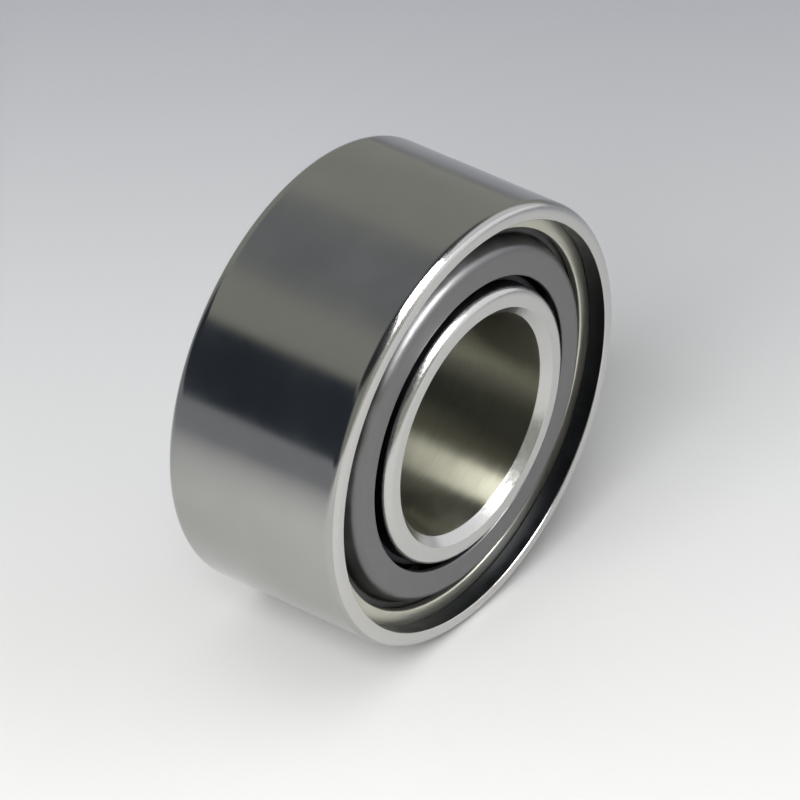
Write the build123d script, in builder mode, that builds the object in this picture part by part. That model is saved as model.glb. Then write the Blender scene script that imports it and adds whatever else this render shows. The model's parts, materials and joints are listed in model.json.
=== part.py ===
from build123d import *
from math import atan2, cos, radians, sin, sqrt, tan
import os

# A miniature deep-groove ball bearing with a metal shield at each end.
# Lengths are in millimetres. The bearing's axis is Y, through the origin at its centre,
# and it stands on its rim. Its front end faces -Y.

# Boundary dimensions: 1/8 in bore, 1/4 in outside, 7/64 in wide
bore_d = 3.175
outer_d = 6.35
width = 2.778
bore_chamfer = 0.127
outer_corner_r = 0.15

# Balls and raceways
ball_d = 1.0
ball_count = 7
first_ball_angle = 90.0
groove_conformity = 0.52
running_clearance = 0.01
shoulder_height = 0.21

# Ends of the rings
inner_rim_wall = 0.305
outer_rim_wall = 0.24
edge_break = 0.02

# Shields: pressed from sheet, the middle raised towards the end of the bearing
shield_depth = 0.115
shield_sheet = 0.10
shield_bore_gap = 0.175
shield_rim_w = 0.31
shield_slope_w = 0.16
shield_bend_r = 0.06
shield_back_clearance = 0.09

# Snap rings: flat C-rings, each sprung into a groove above the rim of its shield
snap_depth = 0.27
snap_t = 0.12
snap_w = 0.28
snap_groove_depth = 0.08
snap_gap = 0.90
snap_gap_angle = 137.0
snap_end_r = 0.10
seat_clearance = 0.01

# Cage: two pressed halves, with tabs of the rear half folded over the front half
cage_sheet = 0.10
cage_land_clearance = 0.07
pocket_clearance = 0.03
cage_bend_r = 0.06
tab_w = 0.36
tab_reach = 0.24
tab_bend_r = 0.08
tab_clearance = 0.02

# Places and sizes that follow from the ones above
bore_r = bore_d / 2
outer_r = outer_d / 2
end_y = width / 2
ball_r = ball_d / 2
pitch_r = (bore_r + outer_r) / 2
groove_r = groove_conformity * ball_d
inner_race_r = pitch_r - ball_r - running_clearance
outer_race_r = pitch_r + ball_r + running_clearance
inner_land_r = inner_race_r + shoulder_height
outer_land_r = outer_race_r - shoulder_height
inner_rim_r = bore_r + inner_rim_wall
mouth_r = outer_r - outer_rim_wall
shield_rim_depth = snap_depth + snap_t
seat_depth = shield_rim_depth + shield_sheet
inner_step_depth = shield_depth + shield_sheet + shield_back_clearance
shield_bore_r = inner_rim_r + shield_bore_gap
shield_outer_r = mouth_r - seat_clearance
shield_rim_r = shield_outer_r - shield_rim_w
shield_flat_r = shield_rim_r - shield_slope_w
slope_angle = atan2(shield_rim_depth - shield_depth, shield_slope_w)
slope_set_in = shield_sheet * tan(slope_angle / 2)
raised_w = shield_flat_r - slope_set_in - shield_bore_r
inside_bend_r = min(shield_bend_r, 0.9 * raised_w / tan(slope_angle / 2))
outside_bend_r = inside_bend_r + shield_sheet
snap_groove_r = mouth_r + snap_groove_depth
snap_outer_r = snap_groove_r - seat_clearance
snap_inner_r = snap_outer_r - snap_w
pocket_r = ball_r + pocket_clearance
cup_r = pocket_r + cage_sheet
cage_inner_r = inner_land_r + cage_land_clearance
cage_outer_r = outer_land_r - cage_land_clearance
tab_back_r = sqrt(cage_outer_r**2 - (tab_w / 2) ** 2)
bridge_angle = 360 / ball_count

os.makedirs("parts", exist_ok=True)


def save(builder, name):
    """Label one finished piece and write it as its own STEP file."""
    builder.part.label = name
    export_step(builder.part, f"parts/{name}.step")


def round_edges(builder, radius):
    """The circular edges of a turned piece that have this radius."""
    circles = builder.edges().filter_by(GeomType.CIRCLE)
    return circles.filter_by(lambda edge: abs(edge.radius - radius) < 1e-4)


def end_edges(builder, radius):
    """The circular edges of this radius that lie in the two end faces of a ring."""
    return round_edges(builder, radius).filter_by(lambda edge: abs(edge.center().Y) > end_y - 1e-4)


# Outer ring: at each end a mouth steps down to the shield's seat, and the snap ring's groove
# is cut in the mouth's wall just above the shield's rim
with BuildPart() as outer_ring:
    with BuildSketch(Plane.XY) as outer_section:
        with BuildLine():
            Polyline(
                (outer_land_r, 0),
                (outer_land_r, end_y - seat_depth),
                (mouth_r, end_y - seat_depth),
                (mouth_r, end_y),
                (outer_r, end_y),
                (outer_r, 0),
                close=True,
            )
        make_face()
        with Locations((mouth_r, end_y - shield_rim_depth - seat_clearance)):
            Rectangle(
                snap_groove_depth,
                snap_t + 2 * seat_clearance,
                align=(Align.MIN, Align.MIN),
                mode=Mode.SUBTRACT,
            )
        mirror(about=Plane.XZ)
        with Locations((outer_race_r - groove_r, 0)):
            Circle(groove_r, mode=Mode.SUBTRACT)
    revolve(axis=Axis.Y)
    fillet(round_edges(outer_ring, outer_r), outer_corner_r)
    chamfer(end_edges(outer_ring, mouth_r), edge_break)
save(outer_ring, "outer_ring")

# Inner ring: narrow end faces, and a step behind each that leaves room for the shield's lip
with BuildPart() as inner_ring:
    with BuildSketch(Plane.XY) as inner_section:
        with BuildLine():
            Polyline(
                (bore_r, 0),
                (bore_r, end_y),
                (inner_rim_r, end_y),
                (inner_rim_r, end_y - inner_step_depth),
                (inner_land_r, end_y - inner_step_depth),
                (inner_land_r, 0),
                close=True,
            )
        make_face()
        mirror(about=Plane.XZ)
        with Locations((inner_race_r + groove_r, 0)):
            Circle(groove_r, mode=Mode.SUBTRACT)
    revolve(axis=Axis.Y)
    chamfer(round_edges(inner_ring, bore_r), bore_chamfer)
    chamfer(end_edges(inner_ring, inner_rim_r), edge_break)
save(inner_ring, "inner_ring")

# Balls, numbered anticlockwise from the top as seen from the front
for number in range(ball_count):
    angle = radians(first_ball_angle + number * bridge_angle)
    with BuildPart() as ball:
        with Locations((pitch_r * cos(angle), 0, pitch_r * sin(angle))):
            Sphere(ball_r)
    save(ball, f"ball_{number + 1}")

# One pressed cup: a dome over a ball, flaring into the flat sheet through a bend
foot_r = sqrt(cup_r**2 - cage_sheet**2)
with BuildPart() as cup:
    with BuildSketch(Plane.XZ) as cup_section:
        Circle(cup_r)
        Rectangle(4 * cup_r, cage_sheet, align=(Align.CENTER, Align.MIN))
        feet = cup_section.vertices().filter_by(lambda v: abs(abs(v.X) - foot_r) < 1e-4)
        fillet(feet, cage_bend_r)
        Rectangle(foot_r + 2 * cage_bend_r, cup_r, align=(Align.MIN, Align.MIN), mode=Mode.INTERSECT)
    revolve(axis=Axis.Z)

# Cage, as pressed: a flat band with a cup over each ball, before its notches or tabs
with BuildPart(Plane.XZ) as pressed_half:
    with BuildSketch(Plane.XZ) as band:
        Circle(cage_outer_r)
        Circle(cage_inner_r, mode=Mode.SUBTRACT)
    extrude(amount=cage_sheet)
    with PolarLocations(pitch_r, ball_count, start_angle=first_ball_angle):
        add(cup.part)
    extrude(band.sketch, amount=cup_r, mode=Mode.INTERSECT)
    with PolarLocations(pitch_r, ball_count, start_angle=first_ball_angle):
        Sphere(pocket_r, mode=Mode.SUBTRACT)

# One plane through the middle of each bridge between two balls: x outward, y along the axis
bridge_planes = []
for number in range(ball_count):
    angle = radians(first_ball_angle + (number + 0.5) * bridge_angle)
    outward = (cos(angle), 0, sin(angle))
    sideways = (-sin(angle), 0, cos(angle))
    bridge_planes.append(Plane(origin=(0, 0, 0), x_dir=outward, z_dir=sideways))

# Front half of the cage: each bridge has a notch in its outer edge for a tab
with BuildPart() as cage_front:
    add(pressed_half.part)
    with BuildSketch(*bridge_planes):
        with Locations((tab_back_r - cage_sheet - tab_clearance, -cage_sheet)):
            Rectangle(3 * cage_sheet, cage_sheet, align=(Align.MIN, Align.MIN))
    extrude(amount=tab_w / 2 + tab_clearance, both=True, mode=Mode.SUBTRACT)
save(cage_front, "cage_front")

# Rear half of the cage: each bridge has a tab that passes through the notch and folds inward
with BuildPart() as cage_rear:
    mirror(pressed_half.part, about=Plane.XZ)
    with BuildSketch(*bridge_planes) as tab_section:
        with BuildLine():
            Polyline(
                (tab_back_r, 0),
                (tab_back_r, -2 * cage_sheet),
                (tab_back_r - tab_reach, -2 * cage_sheet),
                (tab_back_r - tab_reach, -cage_sheet),
                (tab_back_r - cage_sheet, -cage_sheet),
                (tab_back_r - cage_sheet, 0),
                close=True,
            )
        make_face()
        fold = tab_section.vertices().group_by(Axis.Y)[0].sort_by(Axis.X)[-1]
        fillet(fold, tab_bend_r)
    extrude(amount=tab_w / 2, both=True)
save(cage_rear, "cage_rear")

# Front shield: a pressed disc, raised inside its rim, with its bore clear of the inner ring
with BuildPart() as front_shield:
    with BuildSketch(Plane.XY) as shield_section:
        with BuildLine():
            front_side = FilletPolyline(
                (shield_bore_r, shield_depth - end_y),
                (shield_flat_r, shield_depth - end_y),
                (shield_rim_r, shield_rim_depth - end_y),
                (shield_outer_r, shield_rim_depth - end_y),
                radius=[outside_bend_r, inside_bend_r],
            )
            back_side = FilletPolyline(
                (shield_bore_r, shield_depth + shield_sheet - end_y),
                (shield_flat_r - slope_set_in, shield_depth + shield_sheet - end_y),
                (shield_rim_r - slope_set_in, seat_depth - end_y),
                (shield_outer_r, seat_depth - end_y),
                radius=[inside_bend_r, outside_bend_r],
            )
            Line(front_side @ 0, back_side @ 0)
            Line(front_side @ 1, back_side @ 1)
        make_face()
    revolve(axis=Axis.Y)
    chamfer(round_edges(front_shield, shield_bore_r), edge_break)
save(front_shield, "front_shield")

with BuildPart() as rear_shield:
    mirror(front_shield.part, about=Plane.XZ)
save(rear_shield, "rear_shield")

# Front snap ring: a flat C-ring with rounded ends
with BuildPart() as front_snap_ring:
    with BuildSketch(Plane.XZ.offset(end_y - shield_rim_depth)) as c_ring:
        Circle(snap_outer_r)
        Circle(snap_inner_r, mode=Mode.SUBTRACT)
        with Locations(Location((0, 0), snap_gap_angle)):
            Rectangle(outer_r, snap_gap, align=(Align.MIN, Align.CENTER), mode=Mode.SUBTRACT)
        fillet(c_ring.vertices(), snap_end_r)
    extrude(amount=snap_t)
save(front_snap_ring, "front_snap_ring")

with BuildPart() as rear_snap_ring:
    mirror(front_snap_ring.part, about=Plane.XZ)
save(rear_snap_ring, "rear_snap_ring")
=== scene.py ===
"""A miniature shielded ball bearing: turned and pressed metal pieces built round its CAD frame."""

import json
import math

import bmesh
import bpy
from bpy.props import FloatProperty, FloatVectorProperty, IntProperty, PointerProperty
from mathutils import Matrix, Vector

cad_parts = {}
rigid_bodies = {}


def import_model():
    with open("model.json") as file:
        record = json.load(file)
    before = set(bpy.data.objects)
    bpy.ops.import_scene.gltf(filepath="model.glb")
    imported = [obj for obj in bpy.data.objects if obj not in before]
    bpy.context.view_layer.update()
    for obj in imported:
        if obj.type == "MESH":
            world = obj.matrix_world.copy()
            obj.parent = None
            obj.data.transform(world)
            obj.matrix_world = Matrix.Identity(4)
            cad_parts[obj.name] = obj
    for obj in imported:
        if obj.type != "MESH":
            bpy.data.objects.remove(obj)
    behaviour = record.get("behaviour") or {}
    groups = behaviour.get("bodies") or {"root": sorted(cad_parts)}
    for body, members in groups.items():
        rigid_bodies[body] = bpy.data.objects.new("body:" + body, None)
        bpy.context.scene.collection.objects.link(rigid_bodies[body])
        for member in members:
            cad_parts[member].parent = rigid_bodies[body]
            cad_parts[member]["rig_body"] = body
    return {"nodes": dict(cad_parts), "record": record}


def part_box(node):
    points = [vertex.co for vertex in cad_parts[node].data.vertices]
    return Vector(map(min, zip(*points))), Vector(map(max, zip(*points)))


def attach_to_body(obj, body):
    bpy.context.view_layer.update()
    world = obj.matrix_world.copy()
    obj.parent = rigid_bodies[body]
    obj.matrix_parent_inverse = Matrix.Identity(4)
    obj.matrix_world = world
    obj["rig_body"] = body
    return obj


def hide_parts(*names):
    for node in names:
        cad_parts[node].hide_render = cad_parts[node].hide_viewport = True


bl_info = {
    "name": "Shielded Ball Bearing",
    "version": (1, 0, 0),
    "blender": (4, 5, 0),
    "location": "View3D > Sidebar > Bearing",
    "description": "Builds a miniature shielded ball bearing and its studio stage",
    "category": "Add Mesh",
}

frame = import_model()


def node_reach(node):
    """The largest distance from the axis, and the lowest and highest place along it, of a CAD node."""
    low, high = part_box(node)
    return max(high.x, high.z), low.y, high.y


# The axis of the bearing is Y, its front end is at -Y and its middle is the origin.
MM = 0.001
MOUNTS = {mount["name"]: mount for mount in frame["record"]["mounts"]}
OUTER_R = MOUNTS["outer_seat"]["dims"]["r_mm"] * MM
BORE_R = MOUNTS["bore"]["dims"]["r_mm"] * MM
END_Y = abs(MOUNTS["inner_front_face"]["pos_m"][1])
BALL_NODES = sorted(name for name in frame["nodes"] if name.startswith("ball_"))
BALL_LOW, BALL_HIGH = node_reach(BALL_NODES[0])[1:]
BALL_R = (BALL_HIGH - BALL_LOW) / 2
PITCH_R = (OUTER_R + BORE_R) / 2

# Room left between the balls and their raceways, and on each side of a snap ring.
CLEARANCE = 0.01 * MM
# How far inside an edge the points lie that keep its flats flat under smooth shading.
HOLD_GAP = 0.01 * MM
# Cuts across each side of the cube that a ball is drawn from.
BALL_CUTS = 15
# Most of a noise pattern lies between these values.
NOISE_LOW, NOISE_HIGH = 0.3, 0.7

# Level directions, as seen from the camera.
AWAY = (0.802, 0.598, 0.0)
LEFT = (-0.598, 0.802, 0.0)


# ---------------------------------------------------------------------------
# Settings that a user would change
# ---------------------------------------------------------------------------


def length_property(name, description, millimetres):
    """A length shown in the scene's units, with its default given in millimetres."""
    return FloatProperty(
        name=name,
        description=description,
        default=millimetres * MM,
        min=0.0,
        unit="LENGTH",
        precision=6,
    )


def colour_property(name, description, code):
    """A colour whose default is an sRGB hex value."""
    return FloatVectorProperty(
        name=name,
        description=description,
        default=linear(code)[:3],
        size=3,
        min=0.0,
        max=1.0,
        subtype="COLOR",
    )


def linear(code):
    """Turn an sRGB hex value such as 'B4B5B7' into linear red, green, blue and alpha."""
    channels = [int(code[i : i + 2], 16) / 255 for i in (0, 2, 4)]
    return [c / 12.92 if c <= 0.04045 else ((c + 0.055) / 1.055) ** 2.4 for c in channels] + [1.0]


class BearingSizes(bpy.types.PropertyGroup):
    segments: IntProperty(
        name="Segments",
        description="Divisions of a turned piece around the axis",
        default=288,
        min=48,
        max=720,
    )
    outer_corner: length_property("Outer corner", "Radius of the outer ring's outside corners", 0.15)
    mouth_wall: length_property("Mouth wall", "Wall of the outer ring at its mouth", 0.24)
    outer_land: length_property("Outer land", "Radius of the outer ring's shoulders", 2.68125)
    groove_depth: length_property("Groove depth", "Depth of the snap ring's groove in the mouth", 0.08)
    seat_depth: length_property("Seat depth", "Depth of the shield's seat below the end face", 0.49)
    bore_chamfer: length_property("Bore chamfer", "Chamfer at each end of the bore", 0.127)
    inner_rim: length_property("Inner rim", "Wall of the inner ring at its end face", 0.39)
    inner_corner: length_property("Inner corner", "Rounding of the inner ring's rim", 0.12)
    inner_step: length_property("Inner step", "Depth of the step behind the inner ring's rim", 0.305)
    race_radius: length_property("Raceway radius", "Radius of both raceway grooves across the balls", 0.52)
    edge_break: length_property("Edge break", "Rounding left on ground edges", 0.02)
    sheet: length_property("Sheet", "Thickness of the pressed sheet of shields and cage", 0.10)
    bend: length_property("Bend", "Inside radius of the bends in the shields", 0.04)
    shield_gap: length_property("Shield gap", "Gap between the inner ring's rim and the shield", 0.13)
    shield_lip: length_property("Shield lip", "Rounding at the shield's bore", 0.03)
    shield_slope: length_property("Shield slope", "Width of the slope round the raised middle", 0.12)
    shield_rim: length_property("Shield rim", "Width of the shield's seated rim", 0.30)
    snap_width: length_property("Snap ring width", "Radial width of the snap ring", 0.28)
    snap_edge: length_property("Snap ring edge", "Rounding of the snap ring's long edges", 0.03)
    snap_gap: length_property("Snap ring gap", "Gap between the snap ring's ends", 0.90)
    snap_end: length_property("Snap ring end", "Rounding of the snap ring's ends", 0.10)
    snap_angle: FloatProperty(
        name="Snap gap angle",
        description="Where the snap ring's gap is, anticlockwise from the right as seen from the front",
        default=math.radians(137),
        subtype="ANGLE",
    )


class BearingColours(bpy.types.PropertyGroup):
    ring: colour_property("Rings", "Ground and superfinished chrome steel", "B3B2B0")
    # The end faces' paler colour is partly painted light, a lighter copy of the ring steel.
    face: colour_property("End faces", "Chrome steel ground flat", "C8C7C5")
    bore: colour_property("Bore", "Ground but unpolished chrome steel", "888779")
    # Painted shade: the dark colour of the mouths and of the inner ring's step.
    painted_hollow_shade: colour_property("Mouths", "Oxide left on the mouths by hardening", "2B2D31")
    shield: colour_property("Shields", "Cold-rolled steel sheet", "777677")
    snap: colour_property("Snap rings", "Rolled spring steel", "C6C5B8")
    cage: colour_property("Cage", "Pressed steel strip", "B9B7B0")
    ball: colour_property("Balls", "Lapped chrome steel", "D6D6D8")
    floor_front: colour_property("Floor front", "Backdrop card in front", "F4F4F2")
    # Painted shade: the card's tone away behind the bearing, deeper still out on its left.
    floor_far_shade: colour_property("Floor back", "Backdrop card behind", "ACAEB4")


# ---------------------------------------------------------------------------
# Outlines and turned meshes
# ---------------------------------------------------------------------------


def rounded(corners, steps=8):
    """Points of a closed outline from (radius, y, rounding) corners, each rounding drawn as an arc."""
    points = []
    for i, (r, y, rounding) in enumerate(corners):
        here = Vector((r, y))
        if rounding <= 0:
            points.append(here)
            continue
        back = (Vector(corners[i - 1][:2]) - here).normalized()
        ahead = (Vector(corners[(i + 1) % len(corners)][:2]) - here).normalized()
        half = back.angle(ahead) / 2
        start = here + back * rounding / math.tan(half)
        end = here + ahead * rounding / math.tan(half)
        centre = here + (back + ahead).normalized() * rounding / math.sin(half)
        spoke = start - centre
        sweep = spoke.angle_signed(end - centre)
        for k in range(steps + 1):
            turn = -sweep * k / steps
            across = spoke.x * math.cos(turn) - spoke.y * math.sin(turn)
            along = spoke.x * math.sin(turn) + spoke.y * math.cos(turn)
            points.append(centre + Vector((across, along)))
    return points


def with_hold_points(points):
    """Add a point just inside both ends of each long straight run, so that smooth shading keeps its
    flats flat."""
    held = []
    for i, here in enumerate(points):
        ahead = points[(i + 1) % len(points)]
        held.append(here)
        run = (ahead - here).length
        if run > 4 * HOLD_GAP:
            held.append(here.lerp(ahead, HOLD_GAP / run))
            held.append(ahead.lerp(here, HOLD_GAP / run))
    return held


def finish_mesh(name, mesh):
    """Make an object of a bmesh, smooth, with its normals outward."""
    bmesh.ops.recalc_face_normals(mesh, faces=mesh.faces)
    for face in mesh.faces:
        face.smooth = True
    data = bpy.data.meshes.new(name)
    mesh.to_mesh(data)
    mesh.free()
    piece = bpy.data.objects.new(name, data)
    bpy.context.scene.collection.objects.link(piece)
    return piece


def section(mesh, outline, angle):
    """Vertices of an outline of (radius, y) points, turned to an angle about the Y axis."""
    across, up = math.cos(angle), math.sin(angle)
    return [mesh.verts.new((p.x * across, p.y, p.x * up)) for p in outline]


def skin(mesh, one, other):
    """Faces between two closed sections with the same count of vertices."""
    for i in range(len(one)):
        j = (i + 1) % len(one)
        mesh.faces.new((one[i], one[j], other[j], other[i]))


def turned(name, outline, segments):
    """Turn a closed outline of (radius, y) points about the Y axis."""
    mesh = bmesh.new()
    sections = [section(mesh, outline, 2 * math.pi * k / segments) for k in range(segments)]
    for k, one in enumerate(sections):
        skin(mesh, one, sections[(k + 1) % segments])
    return finish_mesh(name, mesh)


def paint_zone(piece, index, inside):
    """Give another material to the faces whose middle is inside a zone of radius and depth below the
    end face."""
    for face in piece.data.polygons:
        if inside(math.hypot(face.center.x, face.center.z), END_Y - abs(face.center.y)):
            face.material_index = index


def race_arc(centre_r, groove_r, land_r, steps=24):
    """Corners along a raceway groove from its rear edge to its front edge, with no rounding."""
    side = 1 if land_r > centre_r else -1
    half = math.acos((land_r - centre_r) * side / groove_r)
    corners = []
    for k in range(steps + 1):
        angle = half * (1 - 2 * k / steps)
        radius = centre_r + side * groove_r * math.cos(angle)
        corners.append((radius, groove_r * math.sin(angle), 0.0))
    return corners


def both_ends(rear, race):
    """The outline of a ring with two like ends, from the corners of its rear end and its raceway."""
    front = [(r, -y, rounding) for r, y, rounding in reversed(rear)]
    return with_hold_points(rounded(rear + front + race[::-1]))


def attach(piece, node, slot, *materials):
    """Give a finished piece its materials, and hand it over to the frame in place of its CAD node."""
    for material in materials:
        piece.data.materials.append(material)
    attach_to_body(piece, frame["nodes"][node]["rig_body"])
    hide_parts(node)


# ---------------------------------------------------------------------------
# Materials
# ---------------------------------------------------------------------------


def add_node(tree, kind, inputs=None, **settings):
    """Add a shader node, set its own properties, and set or link its inputs."""
    node = tree.nodes.new(kind)
    for key, value in settings.items():
        setattr(node, key, value)
    for key, value in (inputs or {}).items():
        if isinstance(value, bpy.types.NodeSocket):
            tree.links.new(value, node.inputs[key])
        else:
            node.inputs[key].default_value = value
    return node


def metal(name, colour, roughness):
    """Start a metal: its tree, its shader, and the object coordinates that its patterns use."""
    material = bpy.data.materials.new(name)
    material.use_nodes = True
    tree = material.node_tree
    shader = tree.nodes["Principled BSDF"]
    shader.inputs["Base Color"].default_value = (*colour, 1.0)
    shader.inputs["Metallic"].default_value = 1.0
    shader.inputs["Roughness"].default_value = roughness
    where = add_node(tree, "ShaderNodeTexCoord").outputs["Object"]
    return material, tree, shader, where


def surface(tree, shader, colour, shade, roughness, pattern, tone=None, relief=None):
    """Let a pattern from 0 to 1 vary a metal's roughness between two values. A tone, the same pattern
    if none is given, lifts its colour from a shade of itself. A relief is a height, strength and depth."""
    span = add_node(
        tree,
        "ShaderNodeMapRange",
        {
            "Value": pattern,
            "From Min": NOISE_LOW,
            "From Max": NOISE_HIGH,
            "To Min": roughness[0],
            "To Max": roughness[1],
        },
    )
    tree.links.new(span.outputs["Result"], shader.inputs["Roughness"])
    dark = [channel * shade for channel in colour]
    mix = add_node(
        tree,
        "ShaderNodeMix",
        {"Factor": pattern if tone is None else tone, "A": (*dark, 1.0), "B": (*colour, 1.0)},
        data_type="RGBA",
    )
    tree.links.new(mix.outputs["Result"], shader.inputs["Base Color"])
    if relief:
        height, strength, depth = relief
        bump = add_node(
            tree, "ShaderNodeBump", {"Height": height, "Strength": strength, "Distance": depth}
        )
        tree.links.new(bump.outputs["Normal"], shader.inputs["Normal"])


def axis_distance(tree, where):
    """The distance from the bearing's axis."""
    parts = add_node(tree, "ShaderNodeSeparateXYZ", {"Vector": where})
    flat = add_node(
        tree, "ShaderNodeCombineXYZ", {"X": parts.outputs["X"], "Z": parts.outputs["Z"]}
    )
    return add_node(
        tree, "ShaderNodeVectorMath", {0: flat.outputs["Vector"]}, operation="LENGTH"
    ).outputs["Value"]


def lathe_coordinate(tree, where, spacing, drift):
    """Coordinates that change fast across a turned surface and slowly along it, for lines that run
    round it. Length counts a little more than radius, so that no chamfer loses its lines."""
    parts = add_node(tree, "ShaderNodeSeparateXYZ", {"Vector": where})
    across = add_node(
        tree,
        "ShaderNodeMath",
        {0: parts.outputs["Y"], 1: 1.3, 2: axis_distance(tree, where)},
        operation="MULTIPLY_ADD",
    )
    fine = add_node(
        tree, "ShaderNodeMath", {0: across.outputs["Value"], 1: 1 / spacing}, operation="MULTIPLY"
    )
    slow = add_node(
        tree, "ShaderNodeVectorMath", {0: where, 1: (1 / drift,) * 3}, operation="MULTIPLY"
    )
    slow_parts = add_node(tree, "ShaderNodeSeparateXYZ", {"Vector": slow.outputs["Vector"]})
    return add_node(
        tree,
        "ShaderNodeCombineXYZ",
        {
            "X": slow_parts.outputs["X"],
            "Y": fine.outputs["Value"],
            "Z": slow_parts.outputs["Z"],
        },
    ).outputs["Vector"]


def superfinished_steel(colour):
    """Through-hardened chrome steel, ground and superfinished: a clear reflection, drawn out a little
    across the fine lines that run round the ring. Real lines are 0.002 mm apart, and these are coarser
    to show."""
    material, tree, shader, where = metal("superfinished_steel", colour, 0.14)
    lines = lathe_coordinate(tree, where, 0.028 * MM, 1.6 * MM)
    grind = add_node(
        tree, "ShaderNodeTexNoise", {"Vector": lines, "Scale": 1.0, "Detail": 4.0, "Roughness": 0.6}
    ).outputs["Fac"]
    cloud = add_node(
        tree, "ShaderNodeTexNoise", {"Vector": where, "Scale": 1 / (0.9 * MM), "Detail": 4.0}
    ).outputs["Fac"]
    surface(tree, shader, colour, 0.84, (0.11, 0.19), cloud, relief=(grind, 0.4, 0.0015 * MM))
    return material


def ground_and_lifted_face_steel(colour):
    """The rings' end faces, ground flat: short scratches in all directions leave them a little softer than
    the outside. Their paler colour is partly the grinding and partly painted light, a lighter copy of the
    ring steel that brightens what they mirror. Real scratches are 0.003 mm wide, and these are coarser to
    show."""
    material, tree, shader, where = metal("ground_and_lifted_face_steel", colour, 0.22)
    scratches = add_node(
        tree, "ShaderNodeTexNoise", {"Vector": where, "Scale": 1 / (0.05 * MM), "Detail": 4.0}
    ).outputs["Fac"]
    surface(tree, shader, colour, 0.9, (0.17, 0.27), scratches)
    return material


def ground_bore_steel(colour):
    """The bore, ground but not polished: lines run round it, so that light is smeared along the axis
    into a streak and stays sharp across it. The lines are coarser than real ones, to show."""
    material, tree, shader, where = metal("ground_bore_steel", colour, 0.34)
    shader.inputs["Anisotropic"].default_value = 1.0
    shader.inputs["Anisotropic Rotation"].default_value = 0.25
    along = add_node(tree, "ShaderNodeTangent", direction_type="RADIAL", axis="Y")
    tree.links.new(along.outputs["Tangent"], shader.inputs["Tangent"])
    lines = lathe_coordinate(tree, where, 0.05 * MM, 0.5 * MM)
    grind = add_node(
        tree, "ShaderNodeTexNoise", {"Vector": lines, "Scale": 1.0, "Detail": 4.0}
    ).outputs["Fac"]
    surface(tree, shader, colour, 0.8, (0.31, 0.38), grind, relief=(grind, 0.3, 0.003 * MM))
    return material


def painted_shade_steel(colour):
    """Turned steel with fine turning lines, its colour darkened to painted shade for the mouths and the
    inner ring's step, where shade falls.
    """
    material, tree, shader, where = metal("painted_shade_steel", colour, 0.4)
    lines = lathe_coordinate(tree, where, 0.03 * MM, 1.2 * MM)
    cut = add_node(
        tree, "ShaderNodeTexNoise", {"Vector": lines, "Scale": 1.0, "Detail": 3.0}
    ).outputs["Fac"]
    cloud = add_node(
        tree, "ShaderNodeTexNoise", {"Vector": where, "Scale": 1 / (0.3 * MM), "Detail": 3.0}
    ).outputs["Fac"]
    # The dark colour is painted shade; the turning lines are real.
    surface(tree, shader, colour, 0.7, (0.34, 0.48), cloud, relief=(cut, 0.3, 0.002 * MM))
    return material


def satin_shield_steel(colour, unshaded_r, shaded_r):
    """Cold-rolled steel sheet, blanked and pressed, then tumbled: a fine even satin with a soft sheen.
    Painted shade darkens the recess round its raised middle, from one radius out to another."""
    material, tree, shader, where = metal("satin_shield_steel", colour, 0.4)
    grain = add_node(
        tree, "ShaderNodeTexNoise", {"Vector": where, "Scale": 1 / (0.035 * MM), "Detail": 3.0}
    ).outputs["Fac"]
    cloud = add_node(
        tree, "ShaderNodeTexNoise", {"Vector": where, "Scale": 1 / (0.6 * MM), "Detail": 2.0}
    ).outputs["Fac"]
    # Painted shade: from the flat's edge out over the recess, broken into patches by the cloud.
    unshaded = add_node(
        tree,
        "ShaderNodeMapRange",
        {
            "Value": axis_distance(tree, where),
            "From Min": unshaded_r,
            "From Max": shaded_r,
            "To Min": 1.0,
            "To Max": 0.0,
        },
    )
    patchy = add_node(
        tree, "ShaderNodeMath", {0: unshaded.outputs["Result"], 1: cloud}, operation="ADD"
    )
    recess_shade_and_mottle = add_node(
        tree,
        "ShaderNodeMapRange",
        {"Value": patchy.outputs["Value"], "From Min": 0.35, "From Max": 1.35},
    )
    surface(
        tree,
        shader,
        colour,
        0.22,
        (0.36, 0.48),
        cloud,
        tone=recess_shade_and_mottle.outputs["Result"],
        relief=(grain, 0.35, 0.002 * MM),
    )
    return material


def rolled_spring_steel(colour):
    """Spring steel wire rolled flat and coiled: smooth, with faint draw lines along it and a straw tint."""
    material, tree, shader, where = metal("rolled_spring_steel", colour, 0.24)
    lines = lathe_coordinate(tree, where, 0.03 * MM, 1.0 * MM)
    draw = add_node(
        tree, "ShaderNodeTexNoise", {"Vector": lines, "Scale": 1.0, "Detail": 2.0}
    ).outputs["Fac"]
    surface(tree, shader, colour, 0.9, (0.3, 0.4), draw, relief=(draw, 0.3, 0.001 * MM))
    return material


def pressed_cage_steel(colour):
    """Mild steel strip, pressed and barrel-finished: a dull even grey with small dents of the media."""
    material, tree, shader, where = metal("pressed_cage_steel", colour, 0.36)
    dents = add_node(
        tree, "ShaderNodeTexNoise", {"Vector": where, "Scale": 1 / (0.08 * MM), "Detail": 2.0}
    ).outputs["Fac"]
    surface(tree, shader, colour, 0.88, (0.3, 0.42), dents, relief=(dents, 0.3, 0.003 * MM))
    return material


def lapped_ball_steel(colour):
    """Chrome steel lapped to a mirror, with only a breath of haze."""
    material, tree, shader, where = metal("lapped_ball_steel", colour, 0.04)
    haze = add_node(
        tree, "ShaderNodeTexNoise", {"Vector": where, "Scale": 1 / (0.2 * MM), "Detail": 2.0}
    ).outputs["Fac"]
    surface(tree, shader, colour, 0.97, (0.03, 0.06), haze)
    return material


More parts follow.
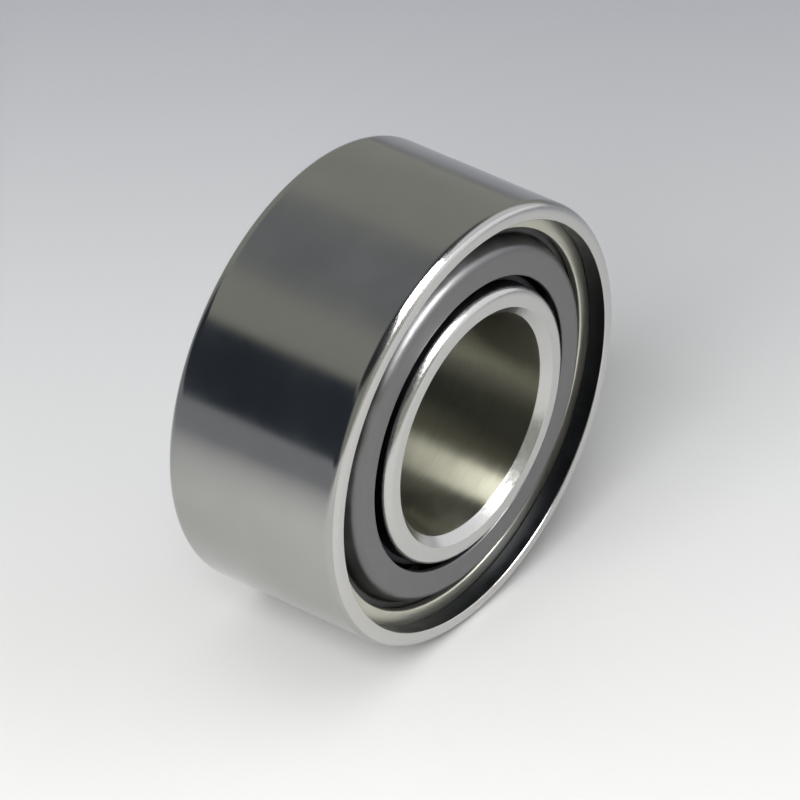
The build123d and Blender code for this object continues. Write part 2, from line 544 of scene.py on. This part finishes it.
def graduated_card(pale, far_shade):
    """Matt backdrop card, paler in front, with painted shade that deepens away behind the bearing, where
    the light falls off, and far out on its left: it reads as an even studio floor, and gives the steel a
    tone to mirror."""
    material = bpy.data.materials.new("graduated_card")
    material.use_nodes = True
    tree = material.node_tree
    shader = tree.nodes["Principled BSDF"]
    shader.inputs["Roughness"].default_value = 0.8
    shader.inputs["Specular IOR Level"].default_value = 0.1
    where = add_node(tree, "ShaderNodeTexCoord").outputs["Object"]
    tone = (*pale, 1.0)
    # Painted shade: darker away behind the bearing, and darker again out on its left.
    edge = [channel * 0.7 for channel in far_shade]
    painted_shades = ((AWAY, -5 * MM, 15 * MM, far_shade), (LEFT, 5.5 * MM, 16 * MM, edge))
    for direction, start, end, shade_colour in painted_shades:
        along = add_node(
            tree, "ShaderNodeVectorMath", {0: where, 1: direction}, operation="DOT_PRODUCT"
        )
        span = add_node(
            tree,
            "ShaderNodeMapRange",
            {"Value": along.outputs["Value"], "From Min": start, "From Max": end},
        )
        tone = add_node(
            tree,
            "ShaderNodeMix",
            {"Factor": span.outputs["Result"], "A": tone, "B": (*shade_colour, 1.0)},
            data_type="RGBA",
        ).outputs["Result"]
    tree.links.new(tone, shader.inputs["Base Color"])
    return material


# ---------------------------------------------------------------------------
# Operators, one for each kind of piece
# ---------------------------------------------------------------------------


class BEARING_OT_outer_ring(bpy.types.Operator):
    """Build the outer ring: ground outside, stepped mouths, snap ring grooves and raceway"""

    bl_idname = "bearing.outer_ring"
    bl_label = "Outer Ring"

    def execute(self, context):
        sizes, colours = context.scene.bearing_sizes, context.scene.bearing_colours
        mouth_r = OUTER_R - sizes.mouth_wall
        groove_r = mouth_r + sizes.groove_depth
        snap_low, snap_high = node_reach("rear_snap_ring")[1:]
        groove_low, groove_high = snap_low - CLEARANCE, snap_high + CLEARANCE
        seat_y = END_Y - sizes.seat_depth
        rear = [
            (sizes.outer_land, seat_y, sizes.edge_break),
            (mouth_r, seat_y, sizes.edge_break),
            (mouth_r, groove_low, 0.0),
            (groove_r, groove_low, 0.0),
            (groove_r, groove_high, 0.0),
            (mouth_r, groove_high, 0.0),
            (mouth_r, END_Y, sizes.edge_break),
            (OUTER_R, END_Y, sizes.outer_corner),
        ]
        race_centre = PITCH_R + BALL_R + CLEARANCE - sizes.race_radius
        outline = both_ends(rear, race_arc(race_centre, sizes.race_radius, sizes.outer_land))
        piece = turned("outer_ring_ground", outline, sizes.segments)
        # Zones: 0 outside and raceway, 1 mouths with their seats and grooves, darkened with painted shade,
        # 2 end faces, paler partly with painted light.
        land_r, wall_r = sizes.outer_land, (mouth_r + OUTER_R) / 2
        paint_zone(piece, 1, lambda r, depth: land_r < r < wall_r and depth > sizes.edge_break)
        paint_zone(piece, 2, lambda r, depth: r > mouth_r and depth < sizes.outer_corner / 3)
        outside, shaded_mouths = superfinished_steel(colours.ring), painted_shade_steel(colours.painted_hollow_shade)
        faces = ground_and_lifted_face_steel(colours.face)
        attach(piece, "outer_ring", "ring_steel", outside, shaded_mouths, faces)
        return {"FINISHED"}


class BEARING_OT_inner_ring(bpy.types.Operator):
    """Build the inner ring: chamfered bore, narrow end faces, steps for the shields' lips and raceway"""

    bl_idname = "bearing.inner_ring"
    bl_label = "Inner Ring"

    def execute(self, context):
        sizes, colours = context.scene.bearing_sizes, context.scene.bearing_colours
        rim_r = BORE_R + sizes.inner_rim
        land_r = node_reach("inner_ring")[0]
        step_y = END_Y - sizes.inner_step
        rear = [
            (land_r, step_y, sizes.edge_break),
            (rim_r, step_y, sizes.edge_break),
            (rim_r, END_Y, sizes.inner_corner),
            (BORE_R + sizes.bore_chamfer, END_Y, sizes.edge_break),
            (BORE_R, END_Y - sizes.bore_chamfer, sizes.edge_break),
        ]
        race_centre = PITCH_R - BALL_R - CLEARANCE + sizes.race_radius
        outline = both_ends(rear, race_arc(race_centre, sizes.race_radius, land_r))
        piece = turned("inner_ring_ground", outline, sizes.segments)
        # Zones: 0 raceway, 1 bore, 2 rim wall, step and land, darkened with painted shade, 3 end faces and
        # bore chamfers, paler partly with painted light.
        outside_r = rim_r - sizes.edge_break
        race_depth = END_Y - math.sqrt(sizes.race_radius**2 - (race_centre - land_r) ** 2)
        paint_zone(piece, 3, lambda r, depth: r > BORE_R and depth < sizes.bore_chamfer)
        paint_zone(piece, 1, lambda r, depth: r < BORE_R + sizes.edge_break / 4)
        paint_zone(piece, 2, lambda r, depth: r > outside_r and depth > sizes.inner_corner)
        paint_zone(piece, 0, lambda r, depth: r > outside_r and depth > race_depth)
        # The rim wall, step and land take the painted shade of the mouths.
        names = ("superfinished_steel", "painted_shade_steel", "ground_and_lifted_face_steel")
        race, step, faces = (bpy.data.materials[name] for name in names)
        bore = ground_bore_steel(colours.bore)
        attach(piece, "inner_ring", "ring_steel", race, bore, step, faces)
        return {"FINISHED"}


class BEARING_OT_balls(bpy.types.Operator):
    """Build the balls as evenly divided spheres, each at its CAD ball"""

    bl_idname = "bearing.balls"
    bl_label = "Balls"

    def execute(self, context):
        material = lapped_ball_steel(context.scene.bearing_colours.ball)
        for node in BALL_NODES:
            low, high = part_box(node)
            centre, radius = (low + high) / 2, (high.y - low.y) / 2
            mesh = bmesh.new()
            bmesh.ops.create_cube(mesh, size=2.0)
            bmesh.ops.subdivide_edges(mesh, edges=mesh.edges, cuts=BALL_CUTS, use_grid_fill=True)
            for vertex in mesh.verts:
                evened = Vector([math.tan(k * math.pi / 4) for k in vertex.co])
                vertex.co = centre + evened.normalized() * radius
            attach(finish_mesh(f"{node}_lapped", mesh), node, "ball_steel", material)
        return {"FINISHED"}


class BEARING_OT_cage(bpy.types.Operator):
    """Give both halves of the pressed cage their finish"""

    bl_idname = "bearing.cage"
    bl_label = "Cage"

    def execute(self, context):
        material = pressed_cage_steel(context.scene.bearing_colours.cage)
        for node in ("cage_front", "cage_rear"):
            half = frame["nodes"][node]
            half.data.materials.clear()
            half.data.materials.append(material)
        return {"FINISHED"}


class BEARING_OT_shields(bpy.types.Operator):
    """Build the two pressed shields, raised inside their rims"""

    bl_idname = "bearing.shields"
    bl_label = "Shields"

    def execute(self, context):
        sizes, colours = context.scene.bearing_sizes, context.scene.bearing_colours
        bore_r = BORE_R + sizes.inner_rim + sizes.shield_gap
        rim_r, back_y, face_y = node_reach("rear_shield")
        foot_r = rim_r - sizes.shield_rim
        flat_r = foot_r - sizes.shield_slope
        rim_y, inside_y = back_y + sizes.sheet, face_y - sizes.sheet
        slope = math.atan2(inside_y - back_y, sizes.shield_slope)
        set_in = sizes.sheet * math.tan(slope / 2)
        outside_bend = sizes.bend + sizes.sheet
        corners = [
            (bore_r, face_y, sizes.shield_lip),
            (flat_r, face_y, outside_bend),
            (foot_r, rim_y, sizes.bend),
            (rim_r, rim_y, sizes.edge_break),
            (rim_r, back_y, sizes.edge_break),
            (foot_r - set_in, back_y, outside_bend),
            (flat_r - set_in, inside_y, sizes.bend),
            (bore_r, inside_y, sizes.shield_lip),
        ]
        # The shield's recess, from flat_r out to foot_r, is darkened with painted shade.
        material = satin_shield_steel(colours.shield, flat_r, foot_r)
        for node, way in (("front_shield", -1), ("rear_shield", 1)):
            outline = with_hold_points(rounded([(r, way * y, bend) for r, y, bend in corners]))
            piece = turned(f"{node}_pressed", outline, sizes.segments)
            attach(piece, node, "shield_steel", material)
        return {"FINISHED"}


class BEARING_OT_snap_rings(bpy.types.Operator):
    """Build the two flat snap rings, open at the gap, with rounded ends"""

    bl_idname = "bearing.snap_rings"
    bl_label = "Snap Rings"

    def execute(self, context):
        material = rolled_spring_steel(context.scene.bearing_colours.snap)
        for node in ("front_snap_ring", "rear_snap_ring"):
            piece = self.c_ring(context.scene.bearing_sizes, f"{node}_rolled", *node_reach(node))
            attach(piece, node, "spring_steel", material)
        return {"FINISHED"}

    def c_ring(self, sizes, name, outer_r, low, high):
        """Sweep a rectangular section with rounded edges round the axis, narrowed near both ends."""
        middle_r = outer_r - sizes.snap_width / 2
        start = sizes.snap_angle + sizes.snap_gap / 2 / middle_r
        end = sizes.snap_angle - sizes.snap_gap / 2 / middle_r + 2 * math.pi
        run = (end - start) * middle_r
        end_r, steps = sizes.snap_end, sizes.segments
        # Both rounded ends get close stations, bunched towards the tip.
        tips = [end_r * (1 - math.cos(math.pi * k / 16)) for k in range(9)]
        body = [end_r + (run - 2 * end_r) * k / steps for k in range(1, steps)]
        mesh = bmesh.new()
        sections = []
        for d in tips + body + [run - tip for tip in reversed(tips)]:
            near = min(d, run - d, end_r)
            trim = end_r - math.sqrt(max(end_r**2 - (end_r - near) ** 2, 0.0))
            inner, outer = outer_r - sizes.snap_width + trim, outer_r - trim
            edge = min(sizes.snap_edge, (outer - inner) / 4)
            corners = ((inner, low), (inner, high), (outer, high), (outer, low))
            outline = rounded([(r, y, edge) for r, y in corners], 4)
            sections.append(section(mesh, outline, start + d / middle_r))
        for one, other in zip(sections, sections[1:]):
            skin(mesh, one, other)
        mesh.faces.new(sections[0])
        mesh.faces.new(sections[-1])
        return finish_mesh(name, mesh)


def spherical(azimuth, elevation):
    """A unit direction, its azimuth in degrees from +Y towards +X and its elevation above the floor."""
    a, e = math.radians(azimuth), math.radians(elevation)
    return Vector((math.sin(a) * math.cos(e), math.cos(a) * math.cos(e), math.sin(e)))


def stand(thing, direction, distance, aim=Vector()):
    """Stand a lamp or a camera off from the point it looks at."""
    thing.location = aim + direction * distance
    thing.rotation_euler = (-direction).to_track_quat("-Z", "Y").to_euler()
    bpy.context.scene.collection.objects.link(thing)


class BEARING_OT_stage(bpy.types.Operator):
    """Set the floor, the soft light, the surroundings and the camera"""

    bl_idname = "bearing.stage"
    bl_label = "Stage"

    def execute(self, context):
        self.floor(context.scene.bearing_colours)
        # The softbox is only mirrored in the steel, and the broad fills only light the card.
        softbox = self.lamp(
            "softbox", spherical(175, 62), 60 * MM, power=0.1, width=31 * MM, height=54 * MM
        )
        front_fill = self.lamp("front_fill", spherical(-102, 38), 300 * MM, power=0.92, width=220 * MM)
        top_fill = self.lamp("top_fill", spherical(-38, 78), 200 * MM, power=0.12, width=200 * MM)
        softbox.visible_diffuse = False
        front_fill.visible_glossy = False
        top_fill.visible_glossy = False
        self.surroundings()
        self.camera()
        context.scene.view_settings.view_transform = "Standard"
        return {"FINISHED"}

    def floor(self, colours):
        """A wide card under the outer ring."""
        mesh = bmesh.new()
        bmesh.ops.create_grid(mesh, x_segments=8, y_segments=8, size=0.4)
        bmesh.ops.translate(mesh, verts=mesh.verts, vec=(0, 0, -OUTER_R))
        floor = finish_mesh("floor", mesh)
        floor.data.materials.append(graduated_card(colours.floor_front, colours.floor_far_shade))

    def lamp(self, name, direction, distance, power, width, height=None):
        """A soft light that looks at the bearing, square unless it has a height."""
        light = bpy.data.lights.new(name, "AREA")
        light.energy, light.size = power, width
        if height:
            light.shape, light.size_y = "RECTANGLE", height
        lamp = bpy.data.objects.new(name, light)
        stand(lamp, direction, distance)
        return lamp

    def surroundings(self):
        """A grey room, as linear light. Each patch of it is laid where all its soft steps, each along a
        direction from one value to another, are on."""
        up = (0.0, 0.0, 1.0)
        high_wall = ((0.23, 0.245, 0.26), ((up, 0.74, 0.85),))
        front_ceiling = ((0.04, 0.04, 0.045), (((0.0, 1.0, 0.0), 0.42, 0.15), (up, 0.5, 0.65)))
        doorway = ((0.036, 0.046, 0.06), (((-0.87, 0.49, 0.0), 0.5, 0.75), (up, 0.56, 0.52)))
        window = ((1.05, 1.05, 1.08), (((0.755, -0.553, 0.352), 0.72, 0.88),))
        world = bpy.data.worlds.new("studio")
        bpy.context.scene.world = world
        world.use_nodes = True
        tree = world.node_tree
        tree.nodes.clear()
        where = add_node(tree, "ShaderNodeTexCoord").outputs["Generated"]
        room = (0.375, 0.385, 0.345, 1.0)
        for light, steps in (high_wall, front_ceiling, doorway, window):
            factor = 1.0
            for direction, start, end in steps:
                along = add_node(
                    tree, "ShaderNodeVectorMath", {0: where, 1: direction}, operation="DOT_PRODUCT"
                )
                step = add_node(
                    tree,
                    "ShaderNodeMapRange",
                    {"Value": along.outputs["Value"], "From Min": start, "From Max": end},
                    interpolation_type="SMOOTHSTEP",
                )
                factor = add_node(
                    tree,
                    "ShaderNodeMath",
                    {0: step.outputs["Result"], 1: factor},
                    operation="MULTIPLY",
                ).outputs["Value"]
            room = add_node(
                tree,
                "ShaderNodeMix",
                {"Factor": factor, "A": room, "B": (*light, 1.0)},
                data_type="RGBA",
            ).outputs["Result"]
        glow = add_node(tree, "ShaderNodeBackground", {"Color": room, "Strength": 1.0})
        add_node(tree, "ShaderNodeOutputWorld", {"Surface": glow.outputs["Background"]})

    def camera(self):
        """Look down on the front end from the left, with a long lens."""
        data = bpy.data.cameras.new("camera")
        data.sensor_width = 36.0
        data.lens = 326.3
        data.clip_start, data.clip_end = 0.005, 5.0
        camera = bpy.data.objects.new("camera", data)
        direction = Vector((-0.64752, -0.48256, 0.58979)).normalized()
        stand(camera, direction, 96.96 * MM, Vector((-0.0064, -0.1108, -0.0977)) * MM)
        bpy.context.scene.camera = camera


class BEARING_PT_panel(bpy.types.Panel):
    """Builds the bearing piece by piece"""

    bl_idname = "BEARING_PT_panel"
    bl_label = "Bearing"
    bl_space_type = "VIEW_3D"
    bl_region_type = "UI"
    bl_category = "Bearing"

    def draw(self, context):
        column = self.layout.column(align=True)
        for operator in OPERATORS:
            column.operator(operator.bl_idname)
        for group in (context.scene.bearing_sizes, context.scene.bearing_colours):
            column.separator()
            for name in group.__annotations__:
                column.prop(group, name)


OPERATORS = (
    BEARING_OT_outer_ring,
    BEARING_OT_inner_ring,
    BEARING_OT_balls,
    BEARING_OT_cage,
    BEARING_OT_shields,
    BEARING_OT_snap_rings,
    BEARING_OT_stage,
)
CLASSES = (BearingSizes, BearingColours, *OPERATORS, BEARING_PT_panel)


def register():
    for cls in CLASSES:
        bpy.utils.register_class(cls)
    bpy.types.Scene.bearing_sizes = PointerProperty(type=BearingSizes)
    bpy.types.Scene.bearing_colours = PointerProperty(type=BearingColours)


def unregister():
    del bpy.types.Scene.bearing_colours
    del bpy.types.Scene.bearing_sizes
    for cls in reversed(CLASSES):
        bpy.utils.unregister_class(cls)


def main():
    """Build every piece."""
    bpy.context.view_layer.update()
    register()
    bpy.ops.bearing.outer_ring()
    bpy.ops.bearing.inner_ring()
    bpy.ops.bearing.balls()
    bpy.ops.bearing.cage()
    bpy.ops.bearing.shields()
    bpy.ops.bearing.snap_rings()
    bpy.ops.bearing.stage()


if __name__ == "__main__":
    main()
